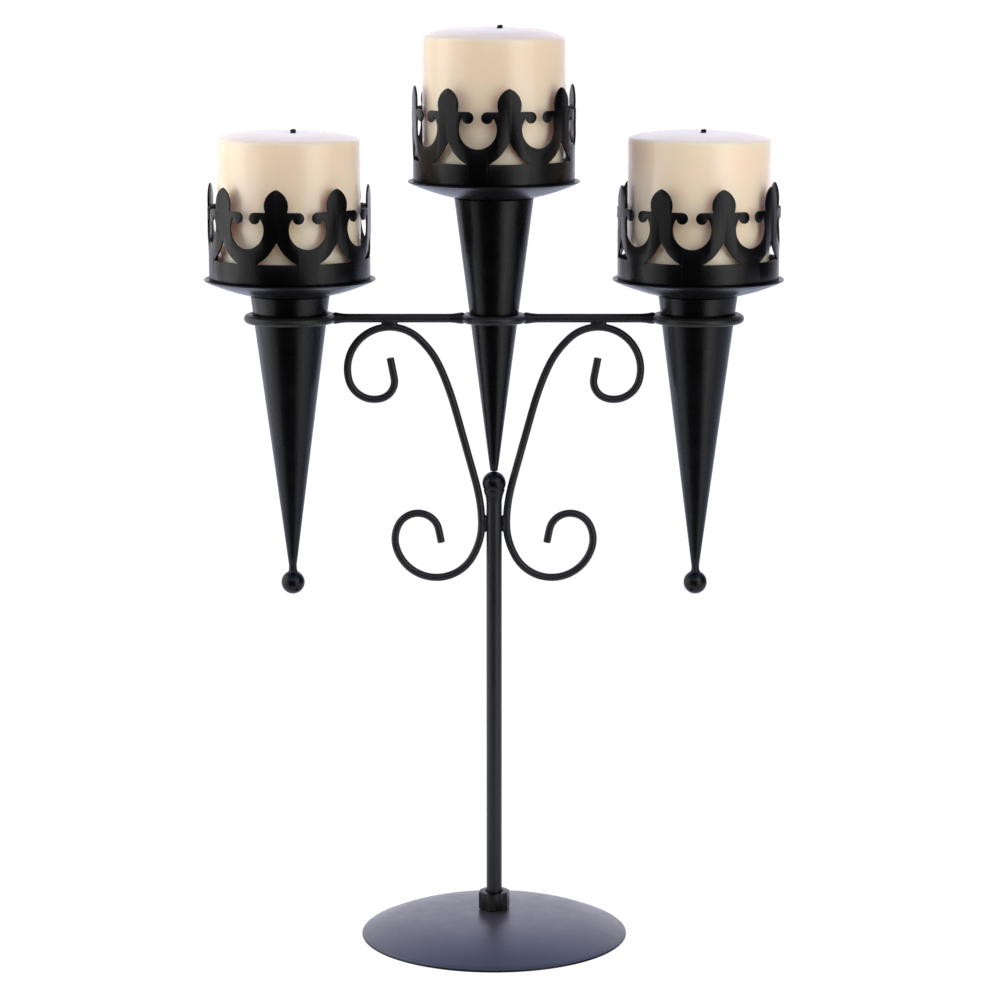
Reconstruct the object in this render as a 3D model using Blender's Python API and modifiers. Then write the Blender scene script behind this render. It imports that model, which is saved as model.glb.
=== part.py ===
"""Three-light table candelabrum: domed base, slim pole, two wire scrolls, a crossbar
with three rings, and three conical torches, each with a drip pan, a pierced crown
band and a pillar candle.

Metres, +Z up. Origin at the centre of the base on the table top, X along the
crossbar, -Y towards the front.
"""
import math

import bmesh
import bpy
from mathutils import Matrix, Vector

MM = 0.001
GAP = 0.3                      # clearance kept between touching pieces

# ---- base ----
BASE_R = 72.9
BASE_SHEET = 1.3
BASE_SEAT_Z = 14.3             # top of the dome, where the nut sits
DOME_POWER = 2.8               # flat crown, steeper towards the rim
BOLT_HOLE_R = 5.3

# ---- base joint: nut on top, washer and bolt below ----
NUT_R = 9.15                   # across corners / 2
NUT_H = 9.6
NUT_BORE_R = 4.9
POLE_SEAT_R = 4.5
NUT_TURN = math.radians(20)
WASHER_R = 10.5
WASHER_T = 1.5
BOLT_HEAD_H = 6.0
BOLT_SHANK_R = 4.55

# ---- pole ----
POLE_R = 4.2
POLE_FOOT_Z = 19.4
BALL_R = 6.35                  # 12.7 mm steel balls
POLE_BALL_Z = 252.3
BALL_FLAT = 4.8                # flat ground under the ball, below its centre

# ---- crossbar and rings ----
BAR_R = 2.4
BAR_Z = 341.9
ARM = 109.2                    # pole axis to side torch axis
SIDE_RING_R = 22.4
CENTRE_RING_R = 15.5

# ---- scrolls: 4.1 mm wire bent as a chain of arcs, outwards from the pole ----
WIRE_R = 2.05
SCROLL_UP = [("arc", 76.5, 15.4), ("run", 48.4), ("arc", 112, 10.2), ("arc", 48.8, 22.8),
             ("arc", 22.9, 146.5), ("arc", 14.1, 92.5), ("arc", 9.6, 83.7), ("run", 11.1)]
SCROLL_DOWN = [("arc", 37, 31.5), ("arc", 22.6, 133.5), ("arc", 17.2, 41.5),
               ("arc", 11.9, 95), ("arc", 11, 47.5), ("run", 7.2)]
ARC_STEP = 13.0                # degrees of bend per straight facet

# ---- torch: cone, pan, crown ----
CONE_TOP_R = 21.2
CONE_TIP_R = 2.05
CONE_LEN = 147.4
CONE_SHEET = 0.7
SIDE_TOP_Z = 354.1             # top of the side cones
CENTRE_TOP_Z = 406.4
PAN_R = 45.9
PAN_SHEET = 0.8
PAN_DISH_R = 102.0             # sphere the saucer is pressed to
CROWN_R = 43.1
CROWN_SHEET = 1.0
FLEURS = 8

# crown outline, heights above the band's lower edge
BAND_H = 12.3                  # solid band below the triangular windows
WINDOW_HALF = 10.9
WINDOW_APEX = 23.8
SCALLOP_R = 10.2
SCALLOP_Z = 30.4
ARM_END_R = 3.1
ARM_END_X = 11.8
ARM_END_Z = 36.5
PETAL_BASE = 5.9
PETAL_HALF = 6.45
PETAL_WIDE_Z = 43.0
CROWN_H = 51.5

# ---- candles ----
CANDLE_R = 38.1                # 3 inch pillar
SIDE_CANDLE_TOP = 438.8
CENTRE_CANDLE_TOP = 492.4
WICK_R = 1.5
WICK_HOLE_R = 1.85
SIDE_CREST, CENTRE_CREST = 3.0, 4.35    # the poured wax stands up in a low dome, dipped round the wick
WICK_OVER_CREST = 1.6

TORCHES = {                    # name: (x, cone top, candle top, first fleur's turn in degrees)
    "left": (-ARM, SIDE_TOP_Z, SIDE_CANDLE_TOP, -50.8),
    "centre": (0.0, CENTRE_TOP_Z, CENTRE_CANDLE_TOP, 191.0),
    "right": (ARM, SIDE_TOP_Z, SIDE_CANDLE_TOP, 194.6),
}

FINISHES = {                   # base colour, roughness, metallic
    "powder_black": ((0.018, 0.018, 0.020, 1), 0.38, 0.0),
    "base_black": ((0.030, 0.031, 0.036, 1), 0.45, 0.0),
    "weld": ((0.015, 0.015, 0.016, 1), 0.5, 0.0),
    "zinc": ((0.45, 0.45, 0.46, 1), 0.35, 1.0),
    "wax": ((0.86, 0.78, 0.64, 1), 0.5, 0.0),
    "cotton": ((0.75, 0.72, 0.66, 1), 0.9, 0.0),
}


# ---------------------------------------------------------------- scene and helpers
for old in list(bpy.data.objects):
    bpy.data.objects.remove(old, do_unlink=True)

parts = bpy.data.collections.new("candelabrum")
cutters = bpy.data.collections.new("cutters")
bpy.context.scene.collection.children.link(parts)
bpy.context.scene.collection.children.link(cutters)


def empty(name, location, parent=None):
    e = bpy.data.objects.new(name, None)
    e.empty_display_size = 0.02
    e.location = [c * MM for c in location]
    if parent:
        e.parent = parent
        e.matrix_parent_inverse = Matrix.Translation(parent.location).inverted()
    parts.objects.link(e)
    return e


def place(name, mesh, finish, location=(0, 0, 0), rotation=(0, 0, 0), parent=None):
    """A part from a mesh, at a world place in millimetres, carried by its parent."""
    ob = bpy.data.objects.new(name, mesh)
    parts.objects.link(ob)
    ob.location = [c * MM for c in location]
    ob.rotation_euler = rotation
    if parent:
        ob.parent = parent
        ob.matrix_parent_inverse = Matrix.Translation(parent.location).inverted()
    colour, rough, metal = FINISHES[finish]
    mat = bpy.data.materials.new(name + "_" + finish)
    mat.use_nodes = True
    bsdf = mat.node_tree.nodes["Principled BSDF"]
    bsdf.inputs["Base Color"].default_value = colour
    bsdf.inputs["Roughness"].default_value = rough
    bsdf.inputs["Metallic"].default_value = metal
    if len(mesh.materials):
        ob.material_slots[0].link = "OBJECT"
        ob.material_slots[0].material = mat
    else:
        mesh.materials.append(mat)
    return ob


def profile_mesh(name, points, closed):
    """A turned part's half section in the XZ plane, in millimetres, outer side downwards."""
    bm = bmesh.new()
    verts = [bm.verts.new((r * MM, 0, z * MM)) for r, z in points]
    for a, b in zip(verts, verts[1:]):
        bm.edges.new((a, b))
    if closed:
        bm.edges.new((verts[-1], verts[0]))
    mesh = bpy.data.meshes.new(name)
    bm.to_mesh(mesh)
    bm.free()
    return mesh


def turned(name, mesh, steps, finish, **where):
    ob = place(name, mesh, finish, **where)
    screw = ob.modifiers.new("turn", "SCREW")
    screw.axis = "Z"
    screw.angle = math.tau
    screw.steps = screw.render_steps = steps
    screw.use_merge_vertices = True
    screw.merge_threshold = 0.00001
    screw.use_smooth_shade = True
    return ob


def solid(name, finish, make, smooth=True, **where):
    """A part from bmesh primitives."""
    bm = bmesh.new()
    make(bm)
    mesh = bpy.data.meshes.new(name)
    bm.to_mesh(mesh)
    bm.free()
    if smooth:
        mesh.shade_smooth()
        mesh.set_sharp_from_angle(angle=math.radians(35))
    return place(name, mesh, finish, **where)


def cylinder(bm, r, z0, z1, sides, r_top=None, turn=0.0):
    bmesh.ops.create_cone(bm, cap_ends=True, segments=sides, radius1=r * MM,
                          radius2=(r if r_top is None else r_top) * MM, depth=(z1 - z0) * MM,
                          matrix=Matrix.Translation((0, 0, (z0 + z1) / 2 * MM)) @ Matrix.Rotation(turn, 4, "Z"))


def cutter(name, make, location=(0, 0, 0)):
    bm = bmesh.new()
    make(bm)
    mesh = bpy.data.meshes.new(name)
    bm.to_mesh(mesh)
    bm.free()
    ob = bpy.data.objects.new(name, mesh)
    ob.location = [c * MM for c in location]
    ob.hide_render = True
    ob.display_type = "WIRE"
    cutters.objects.link(ob)
    return ob


def boolean(ob, tool, how):
    mod = ob.modifiers.new(how.lower() + "_" + tool.name, "BOOLEAN")
    mod.operation = how
    mod.object = tool
    mod.solver = "EXACT"


def curve_to_mesh(curve, name):
    """A curve's evaluated surface as a closed mesh; the curve is removed."""
    ob = bpy.data.objects.new(name, curve)
    parts.objects.link(ob)
    bpy.context.view_layer.update()
    mesh = bpy.data.meshes.new_from_object(ob.evaluated_get(bpy.context.evaluated_depsgraph_get()))
    mesh.name = name
    bm = bmesh.new()
    bm.from_mesh(mesh)
    bmesh.ops.remove_doubles(bm, verts=bm.verts, dist=0.00001)
    bm.to_mesh(mesh)
    bm.free()
    mesh.materials.clear()
    bpy.data.objects.remove(ob, do_unlink=True)
    return mesh


# ---------------------------------------------------------------- stand: base
def dome_z(r):
    return BASE_SHEET + (BASE_SEAT_Z - BASE_SHEET) * (1 - (r / BASE_R) ** DOME_POWER)


def base_profile():
    rings = [BOLT_HOLE_R, 24, 40, 53, 63.5]
    top = [(r, dome_z(r)) for r in rings] + [(BASE_R - 0.5, BASE_SHEET + 0.1), (BASE_R, BASE_SHEET - 0.5)]
    rim = [(BASE_R, 0.3), (BASE_R - 0.3, 0.0), (BASE_R - 2.2, 0.0)]
    under = [(r, dome_z(r) - BASE_SHEET) for r in reversed(rings)]
    return top + rim + under


stand = empty("stand_axis", (0, 0, 0))
turned("base_plate", profile_mesh("base_plate", base_profile(), True), 44, "base_black", parent=stand)

washer_top = dome_z(BOLT_HOLE_R) - BASE_SHEET - GAP
washer_low = washer_top - WASHER_T
turned("base_washer", profile_mesh("base_washer", [(BOLT_HOLE_R, washer_top), (WASHER_R, washer_top),
                                                   (WASHER_R, washer_low), (BOLT_HOLE_R, washer_low)], True),
       24, "zinc", parent=stand)

# nut: hexagon, corners turned off at the top, threaded below and bored for the pole above
nut_low = BASE_SEAT_Z + GAP
nut_top = nut_low + NUT_H
nut = solid("base_nut", "powder_black",
            lambda bm: cylinder(bm, NUT_R, nut_low, nut_top, 6, turn=NUT_TURN), smooth=False, parent=stand)
boolean(nut, cutter("nut_chamfer", lambda bm: cylinder(bm, NUT_R + 18.0, nut_low - 10.0, nut_top + 0.5, 24,
                                                       r_top=NUT_R - 2.0)), "INTERSECT")
boolean(nut, cutter("nut_thread", lambda bm: cylinder(bm, NUT_BORE_R, nut_low - 2, POLE_FOOT_Z - 0.2, 20)), "DIFFERENCE")
boolean(nut, cutter("nut_bore", lambda bm: cylinder(bm, POLE_SEAT_R, nut_low - 1, nut_top + 2, 20)), "DIFFERENCE")
boolean(nut, cutter("nut_countersink", lambda bm: cylinder(bm, POLE_SEAT_R - 0.5, nut_top - 1.6, nut_top + 1.4, 20,
                                                           r_top=POLE_SEAT_R + 1.6)), "DIFFERENCE")

# bolt from below
head_top = washer_low - GAP
bolt = solid("base_bolt", "zinc", lambda bm: cylinder(bm, NUT_R, head_top - BOLT_HEAD_H, head_top, 6), smooth=False,
             parent=stand)
boolean(bolt, cutter("bolt_shank", lambda bm: cylinder(bm, BOLT_SHANK_R, head_top - 2, POLE_FOOT_Z - 0.6, 18)), "UNION")

# ---------------------------------------------------------------- stand: pole
flat_z = POLE_BALL_Z - BALL_FLAT
solid("pole", "powder_black", lambda bm: cylinder(bm, POLE_R, POLE_FOOT_Z, flat_z - GAP, 24), parent=stand)


def ball_profile(centre, low=None, rows=8):
    """A ball's half section, from its top down; low ends it in a flat below the centre."""
    end = math.pi if low is None else math.acos(-low / BALL_R)
    pts = [(BALL_R * math.sin(end * i / rows), centre + BALL_R * math.cos(end * i / rows)) for i in range(rows + 1)]
    pts[0] = (0.0, centre + BALL_R)
    if low is None:
        pts[-1] = (0.0, centre - BALL_R)
    else:
        pts.append((0.0, centre - low))
    return pts


turned("pole_ball", profile_mesh("pole_ball", ball_profile(POLE_BALL_Z, BALL_FLAT), False), 18, "powder_black",
       parent=stand)
turned("weld_pole_ball", profile_mesh("weld_pole_ball", [(POLE_R + GAP, flat_z - 0.2), (POLE_R + 0.9, flat_z - 0.3),
                                                         (POLE_R + GAP + 0.15, flat_z - 4.0),
                                                         (POLE_R + GAP, flat_z - 4.0)], True),
       16, "weld", parent=stand)

# ---------------------------------------------------------------- stand: rings and crossbar
for side, ring_r, x in (("left", SIDE_RING_R, -ARM), ("centre", CENTRE_RING_R, 0.0), ("right", SIDE_RING_R, ARM)):
    bpy.ops.mesh.primitive_torus_add(major_segments=40 if side != "centre" else 32, minor_segments=8,
                                     major_radius=ring_r * MM, minor_radius=BAR_R * MM, location=(0, 0, 0))
    made = bpy.context.object
    ring_mesh = made.data
    bpy.data.objects.remove(made, do_unlink=True)
    ring_mesh.name = "ring_" + side
    ring_mesh.shade_smooth()
    place("ring_" + side, ring_mesh, "powder_black", location=(x, 0, BAR_Z), parent=stand)

bar_in = CENTRE_RING_R + BAR_R + GAP
bar_out = ARM - SIDE_RING_R - BAR_R - GAP
for side, sign in (("left", -1), ("right", 1)):
    solid("crossbar_" + side, "powder_black", lambda bm: cylinder(bm, BAR_R, bar_in, bar_out, 16),
          location=(0, 0, BAR_Z), rotation=(0, sign * math.pi / 2, 0), parent=stand)
    # a bead round each end of the bar, against its ring
    for end, near, far in (("centre", bar_in, bar_in + 2.6), ("side", bar_out - 2.6, bar_out)):
        thick_at = near if end == "centre" else far
        thin_at = far if end == "centre" else near
        ring = [(BAR_R + GAP, far), (BAR_R + (1.15 if thick_at == far else 0.5), far),
                (BAR_R + 1.25, (near + far) / 2 + (0.5 if thick_at == far else -0.5)),
                (BAR_R + (1.15 if thick_at == near else 0.5), near), (BAR_R + GAP, near)]
        turned("weld_bar_%s_%s" % (side, end), profile_mesh("weld_bar_%s_%s" % (side, end), ring, True), 12, "weld",
               location=(0, 0, BAR_Z), rotation=(0, sign * math.pi / 2, 0), parent=stand)


# ---------------------------------------------------------------- stand: scrolls
def bend(start, heading, schedule, turn):
    """Points along wire bent through a schedule of arcs and straight runs."""
    x, z = start
    h = math.radians(heading)
    points = [(x, z)]
    for step in schedule:
        if step[0] == "run":
            x, z = x + step[1] * math.cos(h), z + step[1] * math.sin(h)
            points.append((x, z))
            continue
        radius, sweep = step[1], math.radians(step[2])
        count = max(1, round(step[2] / ARC_STEP))
        d = sweep / count
        chord = 2 * radius * math.sin(d / 2)
        for _ in range(count):
            x, z = x + chord * math.cos(h + turn * d / 2), z + chord * math.sin(h + turn * d / 2)
            h += turn * d
            points.append((x, z))
    return points


start_x = POLE_R + GAP + WIRE_R
up = bend((start_x, 0.0), 90, SCROLL_UP, -1)
down = bend((start_x, 0.0), -90, SCROLL_DOWN, 1)
contact_z = (BAR_Z - BAR_R - GAP - WIRE_R) - max(z for _, z in up)
crest_x = max(up, key=lambda p: p[1])[0]
route = [(x, z + contact_z) for x, z in reversed(up)] + [(x, z + contact_z) for x, z in down[1:]]

for side, sign in (("left", -1), ("right", 1)):
    curve = bpy.data.curves.new("scroll_" + side, "CURVE")
    curve.dimensions = "3D"
    curve.bevel_depth = WIRE_R * MM
    curve.bevel_resolution = 2
    curve.use_fill_caps = True
    spline = curve.splines.new("POLY")
    spline.points.add(len(route) - 1)
    for point, (x, z) in zip(spline.points, route):
        point.co = (sign * x * MM, 0, z * MM, 1)
    mesh = curve_to_mesh(curve, "scroll_" + side)
    mesh.shade_smooth()
    mesh.set_sharp_from_angle(angle=math.radians(50))
    place("scroll_" + side, mesh, "powder_black", parent=stand)


# beads in the crevices: scroll to crossbar, and scroll to pole
def bead(name, centre, size):
    def make(bm):
        bmesh.ops.create_icosphere(bm, subdivisions=1, radius=1.0,
                                   matrix=Matrix.Translation([c * MM for c in centre])
                                   @ Matrix.Diagonal([s * MM for s in size] + [1.0]))
    return solid(name, "weld", make, parent=stand)


crevice_z = BAR_Z - BAR_R - GAP / 2
for side, sign in (("left", -1), ("right", 1)):
    for face, y in (("front", -1), ("back", 1)):
        bead("weld_scroll_bar_%s_%s" % (side, face), (sign * crest_x, y * 2.75, crevice_z), (4.0, 0.85, 0.9))
        bead("weld_scroll_pole_%s_%s" % (side, face), (sign * 5.1, y * 3.1, contact_z), (0.85, 0.85, 3.0))


# ---------------------------------------------------------------- torches
def dish_z(r):
    """Underside of the saucer above the cone's top edge."""
    return GAP + (r * r - CONE_TOP_R ** 2) / (2 * PAN_DISH_R)


def cone_profile(top):
    tip = top - CONE_LEN
    slope = (CONE_TOP_R - CONE_TIP_R) / CONE_LEN
    wall = CONE_SHEET * math.sqrt(1 + slope * slope)
    floor = tip + 3.0
    return [(0.0, floor), (CONE_TIP_R + slope * 3.0 - wall, floor), (CONE_TOP_R - wall, top), (CONE_TOP_R, top),
            (CONE_TIP_R, tip), (0.0, tip)]


def pan_profile(top):
    rings = [0.0, 18.0, 30.0, 39.0, PAN_R]
    upper = [(r, top + dish_z(r) + PAN_SHEET) for r in rings[:-1]]
    rim = [(PAN_R - 0.1, top + dish_z(PAN_R) + PAN_SHEET), (PAN_R, top + dish_z(PAN_R))]
    lower = [(r, top + dish_z(r)) for r in reversed(rings[:-1])]
    return upper + rim + lower


def arc(cx, cz, r, a0, a1, count):
    return [(cx + r * math.cos(math.radians(a0 + (a1 - a0) * i / count)),
             cz + r * math.sin(math.radians(a0 + (a1 - a0) * i / count))) for i in range(count + 1)]


def crown_loops():
    """The band laid flat: one outline along all the fleurs, and a window under each."""
    pitch = math.tau * CROWN_R / FLEURS
    half = pitch / 2
    # where the scallop's circle meets the rounded arm end
    dx, dz = ARM_END_X - half, ARM_END_Z - SCALLOP_Z
    dist = math.hypot(dx, dz)
    along = (SCALLOP_R ** 2 - ARM_END_R ** 2 + dist ** 2) / (2 * dist)
    across = math.sqrt(SCALLOP_R ** 2 - along ** 2)
    nx = half + along * dx / dist - across * dz / dist
    nz = SCALLOP_Z + along * dz / dist + across * dx / dist
    notch_scallop = math.degrees(math.atan2(nz - SCALLOP_Z, nx - half))
    notch_arm = math.degrees(math.atan2(nz - ARM_END_Z, nx - ARM_END_X)) % 360
    side = arc(half, SCALLOP_Z, SCALLOP_R, 270, notch_scallop, 5)
    side += arc(ARM_END_X, ARM_END_Z, ARM_END_R, notch_arm, 450, 5)[1:]
    side += [(PETAL_BASE, ARM_END_Z + ARM_END_R), (PETAL_HALF, PETAL_WIDE_Z),
             (PETAL_HALF * 0.86, PETAL_WIDE_Z + 3.8), (PETAL_HALF * 0.57, PETAL_WIDE_Z + 6.4)]
    fleur = side + [(0.0, CROWN_H)] + [(-x, z) for x, z in reversed(side)]
    fleur.reverse()                                    # left to right
    outline, windows = [], []
    for k in range(FLEURS):
        c = (k + 0.5) * pitch
        pts = [(c + x, z) for x, z in fleur]
        if k:
            pts = pts[1:]
        outline += pts
        # window: flat foot, concave sides that follow the scallops
        reach = SCALLOP_R + 7.1
        left_side = []
        for t in (0.33, 0.66):
            z = BAND_H + (WINDOW_APEX - BAND_H) * t
            straight = WINDOW_HALF * (1 - t)
            curved = half - math.sqrt(max(reach ** 2 - (SCALLOP_Z - z) ** 2, 0.0))
            left_side.append((min(straight, max(curved, 0.2)) * 0.98, z))
        windows.append([(c - WINDOW_HALF, BAND_H), (c + WINDOW_HALF, BAND_H)]
                       + [(c + x, z) for x, z in left_side] + [(c, WINDOW_APEX)]
                       + [(c - x, z) for x, z in reversed(left_side)])
    length = FLEURS * pitch
    outline[0] = (GAP / 2, outline[0][1])
    outline[-1] = (length - GAP / 2, outline[-1][1])
    outline += [(length - GAP / 2, 0.0), (GAP / 2, 0.0)]
    return outline, windows, length


def crown_mesh():
    outline, windows, length = crown_loops()
    curve = bpy.data.curves.new("crown", "CURVE")
    curve.dimensions = "2D"
    curve.fill_mode = "BOTH"
    curve.extrude = CROWN_SHEET / 2 * MM
    for loop in [outline] + windows:
        spline = curve.splines.new("POLY")
        spline.points.add(len(loop) - 1)
        for point, (x, z) in zip(spline.points, loop):
            point.co = (x * MM, z * MM, 0, 1)
        spline.use_cyclic_u = True
    mesh = curve_to_mesh(curve, "crown")
    bm = bmesh.new()
    bm.from_mesh(mesh)
    bmesh.ops.dissolve_limit(bm, angle_limit=0.001, verts=bm.verts, edges=bm.edges)
    columns = FLEURS * 4                               # score lines, so the flat sheet rolls up evenly
    for i in range(1, columns):
        bmesh.ops.bisect_plane(bm, geom=bm.verts[:] + bm.edges[:] + bm.faces[:], dist=0.00002,
                               plane_co=(length * i / columns * MM, 0, 0), plane_no=(1, 0, 0))
    bmesh.ops.triangulate(bm, faces=bm.faces)
    pitch_angle = math.tau / FLEURS
    for v in bm.verts:                                 # roll: length to angle, thickness to radius
        angle = v.co.x / (length * MM) * math.tau - pitch_angle / 2
        radius = (CROWN_R - CROWN_SHEET / 2) * MM + v.co.z
        v.co = Vector((radius * math.sin(angle), -radius * math.cos(angle), v.co.y))
    bmesh.ops.recalc_face_normals(bm, faces=bm.faces)
    if bm.calc_volume(signed=True) < 0:
        bmesh.ops.reverse_faces(bm, faces=bm.faces)
    bm.to_mesh(mesh)
    bm.free()
    mesh.shade_smooth()
    mesh.set_sharp_from_angle(angle=math.radians(30))
    return mesh


cone = profile_mesh("torch_cone", cone_profile(0.0), False)
pan = profile_mesh("drip_pan", pan_profile(0.0), False)
crown = crown_mesh()
wick_mesh = None
seat_z = dish_z(CANDLE_R) + PAN_SHEET + GAP + 0.15     # candle foot above the cone top
crown_z = dish_z(CROWN_R) + PAN_SHEET + GAP + 0.1
TIP_TO_BALL = 2.65                                     # short neck between a side cone's tip and its ball


def candle_profile(height, crest):
    e = 1.5
    top = [(WICK_HOLE_R, 0.6), (8.0, 0.86), (18.0, 1.0), (27.0, 0.84), (33.5, 0.42), (36.7, -0.12)]
    return ([(r, height + crest * k) for r, k in top]
            + [(CANDLE_R, height - 2.0), (CANDLE_R, e), (CANDLE_R - e, 0.0), (WICK_HOLE_R, 0.0)])


candle_meshes = {}
for side, (x, top, candle_top, turn) in TORCHES.items():
    axis = empty("torch_axis_" + side, (x, 0, top))
    turned("torch_cone_" + side, cone, 32, "powder_black", location=(x, 0, top), parent=axis)
    turned("drip_pan_" + side, pan, 36, "powder_black", location=(x, 0, top), parent=axis)
    place("crown_" + side, crown, "powder_black", location=(x, 0, top + crown_z),
          rotation=(0, 0, math.radians(turn)), parent=axis)
    if side != "centre":
        ball_z = -CONE_LEN - TIP_TO_BALL - BALL_R
        if "finial" not in candle_meshes:
            candle_meshes["finial"] = profile_mesh("finial_ball", ball_profile(ball_z), False)
            low, high = -CONE_LEN - TIP_TO_BALL + GAP, -CONE_LEN - GAP
            candle_meshes["neck"] = profile_mesh("weld_finial", [(0, high), (CONE_TIP_R, high), (CONE_TIP_R + 0.1, low + 0.8),
                                                                 (CONE_TIP_R + 0.45, low), (0, low)], False)
        turned("finial_ball_" + side, candle_meshes["finial"], 18, "powder_black", location=(x, 0, top), parent=axis)
        turned("weld_finial_" + side, candle_meshes["neck"], 12, "weld", location=(x, 0, top), parent=axis)

    candle_axis = empty("candle_axis_" + side, (x, 0, top + seat_z), axis)
    height = round(candle_top - (top + seat_z), 1)
    crest = CENTRE_CREST if side == "centre" else SIDE_CREST
    wick_top = height + crest + WICK_OVER_CREST
    if height not in candle_meshes:
        candle_meshes[height] = (profile_mesh("candle", candle_profile(height, crest), True),
                                 profile_mesh("wick", [(0, wick_top), (WICK_R, wick_top - 0.3),
                                                       (WICK_R, 2.0), (0, 2.0)], False))
    body, wick = candle_meshes[height]
    turned("candle_" + side, body, 28, "wax", location=(x, 0, top + seat_z), parent=candle_axis)
    turned("wick_" + side, wick, 8, "cotton", location=(x, 0, top + seat_z), parent=candle_axis)
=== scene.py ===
import math

import bmesh
import bpy
import numpy as np
from mathutils import Matrix, Vector, noise


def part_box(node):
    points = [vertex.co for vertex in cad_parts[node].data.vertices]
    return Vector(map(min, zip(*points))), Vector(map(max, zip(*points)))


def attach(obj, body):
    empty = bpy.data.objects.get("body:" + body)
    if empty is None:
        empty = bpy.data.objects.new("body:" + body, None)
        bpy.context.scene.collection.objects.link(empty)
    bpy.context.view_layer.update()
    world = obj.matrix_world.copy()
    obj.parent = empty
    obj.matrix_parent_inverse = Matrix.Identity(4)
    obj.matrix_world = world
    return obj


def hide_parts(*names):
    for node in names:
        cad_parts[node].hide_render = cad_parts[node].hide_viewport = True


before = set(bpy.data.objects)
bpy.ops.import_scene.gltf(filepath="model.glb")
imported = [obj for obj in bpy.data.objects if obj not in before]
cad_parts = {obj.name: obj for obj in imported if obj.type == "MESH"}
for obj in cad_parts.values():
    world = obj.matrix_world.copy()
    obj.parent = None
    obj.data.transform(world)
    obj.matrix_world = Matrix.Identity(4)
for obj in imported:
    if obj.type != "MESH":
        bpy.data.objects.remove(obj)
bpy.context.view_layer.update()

MM = 0.001
TAU = math.tau
scene = bpy.context.scene

# ------------------------------------------------------------------ camera
# A long lens a little above the crossbar, tilted down: no shift, no depth of field.
cam_data = bpy.data.cameras.new("camera")
cam_data.lens = 124.2
cam_data.sensor_width = 36.0
cam_data.clip_start, cam_data.clip_end = 0.05, 60.0
cam = bpy.data.objects.new("camera", cam_data)
cam.location = (0.0032, -1.8388, 0.5635)
cam.rotation_euler = (math.radians(90 - 9.89), 0, 0)
scene.collection.objects.link(cam)
scene.camera = cam
scene.view_settings.view_transform = "Standard"

# ------------------------------------------------------------------ sizes read from the frame
def mid(node):
    lo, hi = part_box(node)
    return (lo + hi) / 2


TORCHES = ("left", "centre", "right")
AXIS_X = {s: mid("torch_cone_" + s).x / MM for s in TORCHES}
CONE_TOP = {s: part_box("torch_cone_" + s)[1].z / MM for s in TORCHES}
CONE_TIP = {s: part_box("torch_cone_" + s)[0].z / MM for s in TORCHES}
CROWN_LOW = {s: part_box("crown_" + s)[0].z / MM for s in TORCHES}
CANDLE_LOW = {s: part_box("candle_" + s)[0].z / MM for s in TORCHES}
CANDLE_TOP = {s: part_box("candle_" + s)[1].z / MM for s in TORCHES}
WICK_TOP = {s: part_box("wick_" + s)[1].z / MM for s in TORCHES}
BAR_Z = mid("ring_left").z / MM
SEAT_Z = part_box("base_plate")[1].z / MM
BASE_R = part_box("base_plate")[1].x / MM
BALL_R = 6.35
POLE_BALL_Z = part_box("pole_ball")[1].z / MM - BALL_R
POLE_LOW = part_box("pole")[0].z / MM
NUT_LO, NUT_HI = (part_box("base_nut")[i].z / MM for i in (0, 1))

BAR_R, WIRE_R, POLE_R = 2.4, 2.05, 4.2
RING_R = {"left": 22.4, "centre": 15.5, "right": 22.4}
CONE_TOP_R, CONE_TIP_R, CONE_SHEET = 21.2, 2.05, 0.7
PAN_R, PAN_SHEET, PAN_DISH_R = 45.9, 0.8, 102.0
CROWN_R, CROWN_SHEET, FLEURS = 43.1, 1.0, 8
CANDLE_R = 38.1
FLEUR_TURN = {"left": -50.8, "centre": 191.0, "right": 194.6}     # the seam lies half a fleur before this
CREST = {"left": 3.0, "centre": 4.35, "right": 3.0}
WICK_OFF = {"left": 2.3, "centre": 2.9, "right": 1.9}     # the poured wicks stand a little off centre


# ------------------------------------------------------------------ materials
def node_material(name):
    mat = bpy.data.materials.new(name)
    mat.use_nodes = True
    nt = mat.node_tree
    return mat, nt, nt.nodes["Principled BSDF"]


def new(nt, kind, **sets):
    n = nt.nodes.new(kind)
    for k, v in sets.items():
        setattr(n, k, v)
    return n


def noise_tex(nt, vector, scale, detail=2.0, rough=0.5, distortion=0.0):
    n = new(nt, "ShaderNodeTexNoise")
    n.inputs["Scale"].default_value = scale
    n.inputs["Detail"].default_value = detail
    n.inputs["Roughness"].default_value = rough
    n.inputs["Distortion"].default_value = distortion
    nt.links.new(vector, n.inputs["Vector"])
    return n.outputs["Fac"]


def ramp(nt, value, stops):
    n = new(nt, "ShaderNodeValToRGB")
    els = n.color_ramp.elements
    while len(els) > len(stops):
        els.remove(els[-1])
    while len(els) < len(stops):
        els.new(0.5)
    for e, (at, c) in zip(els, stops):
        e.position = at
        e.color = (c, c, c, 1) if isinstance(c, (int, float)) else (*c, 1)
    nt.links.new(value, n.inputs["Fac"])
    return n.outputs["Color"]


def map_range(nt, value, a0, a1, b0, b1):
    n = new(nt, "ShaderNodeMapRange")
    for key, v in (("From Min", a0), ("From Max", a1), ("To Min", b0), ("To Max", b1)):
        n.inputs[key].default_value = v
    nt.links.new(value, n.inputs["Value"])
    return n.outputs["Result"]


def bump(nt, height, strength, distance, normal=None):
    n = new(nt, "ShaderNodeBump")
    n.inputs["Strength"].default_value = strength
    n.inputs["Distance"].default_value = distance
    nt.links.new(height, n.inputs["Height"])
    if normal is not None:
        nt.links.new(normal, n.inputs["Normal"])
    return n.outputs["Normal"]


def coords(nt):
    return new(nt, "ShaderNodeTexCoord").outputs["Object"]


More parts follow.
